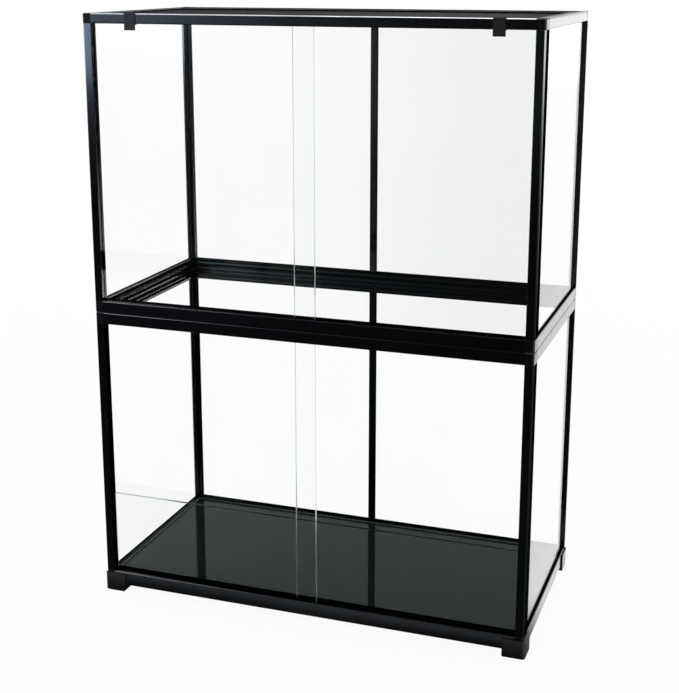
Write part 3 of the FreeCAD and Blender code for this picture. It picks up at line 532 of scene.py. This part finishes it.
def floor_glass(name):
    """Dark glass with a faint film of dust."""
    material, tree, surface, place = start(name)
    dust = add(tree, "ShaderNodeTexNoise", {"Vector": place, "Scale": 1 / DUST, "Detail": 6.0})
    tone, rough = mottled(tree, dust, ("08130e", "0b1712"), (0.0, 0.004), FILM_REACH)
    pane = add(tree, "ShaderNodeBsdfPrincipled", {"Base Color": tone, "Roughness": rough, "IOR": 1.19})
    tree.links.new(pane.outputs["BSDF"], surface)
    return material


finish_with(floor_glass("enamelled_float_glass"), ["floor_pane"])

# %% [markdown]
# ## Neutral silicone
# The floor pane is sealed with smoke-grey silicone that cures without acid. Its skin is slightly greasy and
# keeps the drag marks of the spatula. Silicone lets a little light in, and subsurface scattering could show
# that. A thin bead hardly does, so a plain surface with a soft sheen is enough.

# %% Silicone finish
DRAG = 8 * MM
DRAG_DEPTH = 0.2 * MM


def silicone(name):
    """Smoke-grey neutral-cure silicone with a greasy sheen."""
    material, tree, surface, place = start(name)
    drag = add(tree, "ShaderNodeTexNoise", {"Vector": place, "Scale": 1 / DRAG, "Detail": 2.0})
    tone, rough = mottled(tree, drag, ("3c423f", "4c5350"), (0.3, 0.45))
    relief = add(tree, "ShaderNodeBump", {"Height": drag, "Strength": 0.2, "Distance": DRAG_DEPTH})
    gel = add(tree, "ShaderNodeBsdfPrincipled",
              {"Base Color": tone, "Roughness": rough, "IOR": 1.41, "Normal": relief})
    tree.links.new(gel.outputs["BSDF"], surface)
    return material


sealant = silicone("neutral_silicone")
print(sealant.name, "with drag marks about", round(DRAG / MM), "mm long")

# %% [markdown]
# ## New meshes
# The bead, the screen weave and the studio floor aren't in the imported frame. Blender's operators could add
# them, but what an operator does depends on what is selected. A mesh from lists of points and polygons
# depends on nothing else.

# %% A mesh object from points
def new_piece(name, points, polygons):
    """A mesh object of these points and polygons, linked to the scene."""
    mesh = bpy.data.meshes.new(name)
    mesh.from_pydata(points, [], polygons)
    mesh.update()
    piece = bpy.data.objects.new(name, mesh)
    bpy.context.scene.collection.objects.link(piece)
    return piece


print(len(bpy.data.meshes), "meshes before the new ones")

# %% [markdown]
# ## Silicone bead
# The floor pane lies in the base rails on a bed of sealant. The fitter runs a bead round its rim and draws a
# spatula along it, so the bead is a small hollow fillet of slightly uneven width. A curve with a bevel would
# give it one width all round. Points along the rim, each with its own width, give the hand-made one.

# %% Sealant round the floor pane
BEAD = 2.8 * MM
TOOLED = 30 * MM
UNEVEN = 0.1
WAVER = 1.7
HOLLOW = ((0, -0.05), (1, -0.05), (0.3, 0.35), (0, 1))  # the section, in bead widths
RIM_GAP = 0.2 * MM  # between pane and rail, closed by the bead


def sealant_bead(name, low, high):
    """A hollow fillet along the four sides of the rectangle from low to high, standing on its upper face."""
    rim = [Vector((low.x, low.y)), Vector((high.x, low.y)), Vector((high.x, high.y)), Vector((low.x, high.y))]
    runs = [(rim[(i + 1) % 4] - rim[i]) for i in range(4)]
    inward = [Vector((-run.y, run.x)).normalized() for run in runs]
    points = []
    for i in range(4):
        count = round(runs[i].length / TOOLED)
        for k in range(count):
            foot = rim[i] + runs[i] * (k / count)
            side = inward[i] if k else inward[i - 1] + inward[i]
            width = BEAD * (1 + UNEVEN * sin(WAVER * len(points)))
            for off, rise in HOLLOW:
                spot = foot + side * (width * off)
                points.append((spot.x, spot.y, high.z + width * rise))
    total = len(points)
    quads = [(i + k, i + (k + 1) % 4, (i + 4 + (k + 1) % 4) % total, (i + 4 + k) % total)
             for i in range(0, total, 4) for k in range(4)]
    return new_piece(name, points, quads)


pane_low, pane_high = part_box("floor_pane")
rim_gap = Vector((RIM_GAP, RIM_GAP, 0))
bead = sealant_bead("sealant_bead", pane_low - rim_gap, pane_high + rim_gap)
bead.data.materials.append(sealant)
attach(bead, "cabinet")
print(len(bead.data.polygons), "faces in the bead")

# %% [markdown]
# ## Zinc-plated steel
# Foot screws and the dowels between the modules are turned from steel and plated with bright zinc, a pale
# blue-grey metal with a fine spangle. An image of the plating would have to be laid out on every screw. A
# noise of the spangle's size needs no layout.

# %% Plated fasteners
SPANGLE = 2 * MM


def zinc_plate(name):
    """Bright zinc on turned steel."""
    material, tree, surface, place = start(name)
    spangle = add(tree, "ShaderNodeTexNoise", {"Vector": place, "Scale": 1 / SPANGLE, "Detail": 3.0})
    tone, rough = mottled(tree, spangle, ("a9afb6", "c9ced4"), (0.22, 0.4))
    metal = add(tree, "ShaderNodeBsdfPrincipled", {"Base Color": tone, "Metallic": 1.0, "Roughness": rough})
    tree.links.new(metal.outputs["BSDF"], surface)
    return material


finish_with(zinc_plate("zinc_plated_steel"), ["foot_screws", "stacking_dowels"])

# %% [markdown]
# ## Epoxy-coated wire
# The wire of the screen is steel, dipped in black epoxy against rust. The coat is thin and a little uneven,
# with a dull gloss. Seen from a shallow angle, hundreds of wires add up to a dark grey. The usual gloss of a
# plastic would make that too pale, so the specular level is low.

# %% Coated wire
COAT_RUN = 6 * MM


def coated_wire(name):
    """Steel wire in a thin black epoxy coat."""
    material, tree, surface, place = start(name)
    coat = add(tree, "ShaderNodeTexNoise", {"Vector": place, "Scale": 1 / COAT_RUN, "Detail": 2.0})
    tone, rough = mottled(tree, coat, ("060607", "0d0d0f"), (0.35, 0.55))
    wire = add(tree, "ShaderNodeBsdfPrincipled",
               {"Base Color": tone, "Roughness": rough, "IOR": 1.55, "Specular IOR Level": 0.08})
    tree.links.new(wire.outputs["BSDF"], surface)
    return material


wire_finish = coated_wire("epoxy_coated_wire")
finish_with(wire_finish, ["screen_net"])

# %% [markdown]
# ## The screen weave
# The lid holds a net of that wire. The frame's own net is coarse, for collisions, so a fine one stands for
# it in the same place. A sheet with a pattern of holes would be lighter, but flat from the side and solid in
# the exported mesh. So the wires are real: two layers of straight wires that touch where they cross.

# %% Fine wire screen
WIRE_PITCH = 1.9 * MM
WIRE = 0.4 * MM
WIRE_SECTION = ((0, WIRE / 2), (WIRE / 2, 0), (0, -WIRE / 2), (-WIRE / 2, 0))


def wire_screen(name, low, high):
    """Two crossed layers of square-section wires that fill the box from low to high."""
    points, quads = [], []
    middle = (low.z + high.z) / 2
    for run in (ACROSS, DEEP):
        across = 1 - run
        span = high[across] - low[across]
        count = round(span / WIRE_PITCH) - 1
        level = middle + (WIRE / 2 if run else -WIRE / 2)
        for i in range(count):
            at = low[across] + span * (i + 1) / (count + 1)
            first = len(points)
            for end in (low[run], high[run]):
                for off, rise in WIRE_SECTION:
                    point = [0, 0, level + rise]
                    point[run], point[across] = end, at + off
                    points.append(point)
            a = range(first, first + 4)
            b = range(first + 4, first + 8)
            quads += [(a[k], a[(k + 1) % 4], b[(k + 1) % 4], b[k]) for k in range(4)]
            quads += [tuple(reversed(a)), tuple(b)]
    return new_piece(name, points, quads)


weave = wire_screen("screen_weave", *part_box("screen_net"))
weave.data.materials.append(wire_finish)
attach(weave, "screen_lid")
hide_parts("screen_net")
print(len(weave.data.polygons), "faces in the weave")

# %% [markdown]
# ## Pale floor
# The picture has a plain white ground. Enough lamps could burn a grey floor to white, but they would wash out
# the cabinet too. So the floor is pale paper that takes a soft shadow, and a second shader on it glows white
# for the rays that show it. The last of the three floor cells mixes the two.

# %% Paper floor
REACH = 40.0
FIBRE = 40 * MM
rim = [(-REACH, -REACH, 0), (REACH, -REACH, 0), (REACH, REACH, 0), (-REACH, REACH, 0)]
ground = new_piece("studio_floor", rim, [(0, 1, 2, 3)])
paper, tree, surface, place = start("studio_paper")
fibre = add(tree, "ShaderNodeTexNoise", {"Vector": place, "Scale": 1 / FIBRE})
white = add(tree, "ShaderNodeMix", {"Factor": fibre, "A": linear("f0f0f0"), "B": linear("f6f6f6")},
            data_type="RGBA")
matt = add(tree, "ShaderNodeBsdfDiffuse", {"Color": white})
ground.data.materials.append(paper)
print("floor reaches", REACH, "m each way")

# %% [markdown]
# ## The floor in a mirror
# Glass and dark metal mirror the floor. An evenly white one would turn the black frame grey. In a studio the
# floor in front of a product is dim, as no lamp points at it, and far parts run up into a lit backdrop. Dark
# cards could do that, but they would show from other sides. Four ranges of distance do it here.

# %% Glow of the floor in mirrored rays
FLARE = 0.35
NEAR_REAR = {1: -0.35, 2: -0.1, 3: 0.09, 4: 1.0}
FAR_FRONT = {1: -4.0, 2: -9.0, 3: 0.0, 4: 0.35}
WINGS = {1: 7.0, 2: 15.0, 3: 0.0, 4: 1.2}
BACKDROP = {1: 6.0, 2: 15.0, 3: 0.0, 4: 1.5}
at = add(tree, "ShaderNodeSeparateXYZ", {0: place}).outputs
far = add(tree, "ShaderNodeMath", {0: at["X"]}, operation="ABSOLUTE")
past = add(tree, "ShaderNodeMath", {0: far, 1: FLARE}, operation="MULTIPLY")
past = add(tree, "ShaderNodeMath", {0: at["Y"], 1: past}, operation="SUBTRACT")
flag = 0.0
for distance, field in ((past, NEAR_REAR), (at["Y"], FAR_FRONT), (far, WINGS), (past, BACKDROP)):
    part = add(tree, "ShaderNodeMapRange", {"Value": distance, **field}, interpolation_type="SMOOTHSTEP")
    flag = add(tree, "ShaderNodeMath", {0: flag, 1: part}, operation="MAXIMUM")
print("mirrored rays see the floor glow between", NEAR_REAR[3], "and", BACKDROP[4])

# %% [markdown]
# ## Rays that see the floor glow
# Camera, glossy and transmitted rays see the glow, at strength 1 unless they were mirrored before. Rays that
# a matt surface scattered see plain paper, so the glow lights nothing. Near the cabinet a twentieth of the
# paper shows, which keeps a soft shadow under the feet.

# %% Two shaders on one floor
ONE_BOUNCE = 0.5  # depths are whole numbers, so more than this is at least one bounce
SHADOW = {1: 1.2, 2: 3.5, 3: 0.95, 4: 1.0}  # the share of glow, from the cabinet outwards
ray = add(tree, "ShaderNodeLightPath").outputs
mirrored = add(tree, "ShaderNodeMath", {0: ray["Glossy Depth"], 1: ONE_BOUNCE}, operation="GREATER_THAN")
scattered = add(tree, "ShaderNodeMath", {0: ray["Diffuse Depth"], 1: ONE_BOUNCE}, operation="GREATER_THAN")
shown = add(tree, "ShaderNodeMath", {0: ray["Is Camera Ray"], 1: ray["Is Transmission Ray"]},
            operation="MAXIMUM")
shown = add(tree, "ShaderNodeMath", {0: shown, 1: ray["Is Glossy Ray"]}, operation="MAXIMUM")
shown = add(tree, "ShaderNodeMath", {0: shown, 1: scattered}, operation="SUBTRACT")
bright = add(tree, "ShaderNodeMix", {"Factor": mirrored, "A": 1.0, "B": flag})
glow = add(tree, "ShaderNodeEmission", {"Color": (1, 1, 1, 1), "Strength": bright})
apart = add(tree, "ShaderNodeVectorMath", {0: place}, operation="LENGTH")
even = add(tree, "ShaderNodeMapRange", {"Value": apart, **SHADOW})
share = add(tree, "ShaderNodeMath", {0: shown, 1: even}, operation="MULTIPLY")
mixed = add(tree, "ShaderNodeMixShader", {0: share, 1: matt, 2: glow})
tree.links.new(mixed.outputs["Shader"], surface)
print(paper.name, "on", ground.name)

# %% [markdown]
# ## Studio world
# Dark metal shows mostly what it mirrors, so the room round the cabinet matters. A photo of a studio could
# light it from all round, but the few broad fields that count are quick to draw: bright behind the cabinet
# and above it, brighter at both sides, dim behind the camera.

# %% Light from each direction
BEHIND = {1: -0.1, 2: 0.45, 3: 0.03, 4: 0.75}
ASIDE = {1: 0.3, 2: 0.65, 3: 1.0, 4: 1.8}
BESIDE = {1: 0.72, 2: 0.9, 3: 0.0, 4: 1.2}
ABOVE = {1: 0.45, 2: 0.9, 3: 0.0, 4: 0.8}
world = bpy.data.worlds.new("studio")
bpy.context.scene.world = world
world.use_nodes = True
tree = world.node_tree
tree.nodes.clear()
towards = add(tree, "ShaderNodeTexCoord").outputs["Generated"]
towards = add(tree, "ShaderNodeSeparateXYZ", {0: towards}).outputs
sideways = add(tree, "ShaderNodeMath", {0: towards["X"]}, operation="ABSOLUTE")
behind = add(tree, "ShaderNodeMapRange", {"Value": towards["Y"], **BEHIND}, interpolation_type="SMOOTHSTEP")
aside = add(tree, "ShaderNodeMapRange", {"Value": sideways, **ASIDE}, interpolation_type="SMOOTHSTEP")
beside = add(tree, "ShaderNodeMapRange", {"Value": sideways, **BESIDE}, interpolation_type="SMOOTHSTEP")
above = add(tree, "ShaderNodeMapRange", {"Value": towards["Z"], **ABOVE}, interpolation_type="SMOOTHSTEP")
level = add(tree, "ShaderNodeMath", {0: behind, 1: aside}, operation="MULTIPLY")
level = add(tree, "ShaderNodeMath", {0: level, 1: beside}, operation="MAXIMUM")
level = add(tree, "ShaderNodeMath", {0: level, 1: above}, operation="MAXIMUM")
studio = add(tree, "ShaderNodeBackground", {"Color": linear("fbfcff"), "Strength": level})
print("studio strength", BEHIND[3], "behind the camera,", BEHIND[4], "behind the cabinet")

# %% [markdown]
# ## White behind the cabinet
# Behind the floor the picture is white too. A white card would have an edge from some side. The world can
# answer by the kind of ray instead: straight from the camera, or through glass, it is plain white.

# %% White for the camera
plain = add(tree, "ShaderNodeBackground", {"Color": (1, 1, 1, 1), "Strength": 1.0})
ray = add(tree, "ShaderNodeLightPath").outputs
turned = add(tree, "ShaderNodeMath", {0: ray["Glossy Depth"], 1: ray["Diffuse Depth"]}, operation="ADD")
straight = add(tree, "ShaderNodeMath", {0: turned, 1: ONE_BOUNCE}, operation="LESS_THAN")
through = add(tree, "ShaderNodeMath", {0: ray["Is Transmission Ray"], 1: straight}, operation="MULTIPLY")
seen = add(tree, "ShaderNodeMath", {0: ray["Is Camera Ray"], 1: through}, operation="MAXIMUM")
sky = add(tree, "ShaderNodeMixShader", {0: seen, 1: studio, 2: plain})
add(tree, "ShaderNodeOutputWorld", {"Surface": sky})
print(len(tree.nodes), "nodes in the world")

# %% [markdown]
# ## Softboxes
# A key at the left of the camera leaves a blue-grey sheen on the left end of the front rails. A wide softbox
# overhead draws the bright lines along the top edges, and a low strip stands for light that the floor throws
# up at the feet. Smaller lamps would give hard spots in the glass. Even these would grey the panes, so light
# linking keeps the key to the frame, and the strip to the feet and the front base rail.

# %% Softboxes
def softbox(name, place, aim, size, power, code):
    """An area lamp that the camera doesn't see, neither directly nor through glass."""
    lamp = bpy.data.lights.new(name, "AREA")
    lamp.shape = "RECTANGLE"
    lamp.size, lamp.size_y = size
    lamp.energy = power
    lamp.color = linear(code)[:3]
    holder = bpy.data.objects.new(name, lamp)
    holder.location = place
    holder.rotation_euler = (Vector(aim) - Vector(place)).to_track_quat("-Z", "Y").to_euler()
    holder.visible_camera = holder.visible_transmission = False
    bpy.context.scene.collection.objects.link(holder)
    return holder


def light_only(holder, name, lit):
    """Keeps a lamp's light to the named pieces."""
    receivers = bpy.data.collections.new(name)
    for piece in lit:
        receivers.objects.link(nodes[piece])
    holder.light_linking.receiver_collection = receivers
    print(holder.name, "lights", len(lit), "pieces")


key = softbox("key_softbox", place=(-2.1, -2.5, 1.65), aim=(-0.3, -0.2, 1.0), size=(1.4, 1.6), power=70,
              code="dde8fb")
bounce = softbox("floor_bounce", place=(0, -0.46, 0.004), aim=(0, -0.46, 1), size=(1.3, 0.36), power=2.8,
                 code="ffffff")
softbox("top_softbox", place=(0.2, 0.3, 3.2), aim=(0, 0, 0.6), size=(2.4, 2.0), power=30, code="ffffff")
all_rails = [name for side in sides for name in rails[side]]
light_only(key, "metalwork", all_rails + posts + mullions + connectors + feet + clips)
light_only(bounce, "footing", feet + ["lower_front_base_rail"])

# %% [markdown]
# ## Camera
# The picture was taken a little above the top of the cabinet, about 2.6 m away and 19 degrees to the right of
# straight on. A camera could be set by eye. Lens, place and angles here come from a least-squares fit of the
# cabinet's corners, with a small shift for the framing.

# %% Camera
LONG_SIDE = 693
FOCAL_PIXELS = 1313.3
SENSOR = 36.0
SHIFT = -0.08
AZIMUTH, ELEVATION = radians(19.434), radians(13.801)
camera_data = bpy.data.cameras.new("portrait_camera")
camera = bpy.data.objects.new("portrait_camera", camera_data)
camera_data.sensor_width = SENSOR
camera_data.lens = FOCAL_PIXELS * SENSOR / LONG_SIDE
camera_data.shift_y = SHIFT
camera.location = (0.8843, -2.5155, 1.3016)
look = Vector((-sin(AZIMUTH) * cos(ELEVATION), cos(AZIMUTH) * cos(ELEVATION), -sin(ELEVATION)))
camera.rotation_euler = look.to_track_quat("-Z", "Y").to_euler()
bpy.context.scene.collection.objects.link(camera)
bpy.context.scene.camera = camera
bpy.context.scene.view_settings.view_transform = "Standard"
print("lens", round(camera_data.lens, 1), "mm")
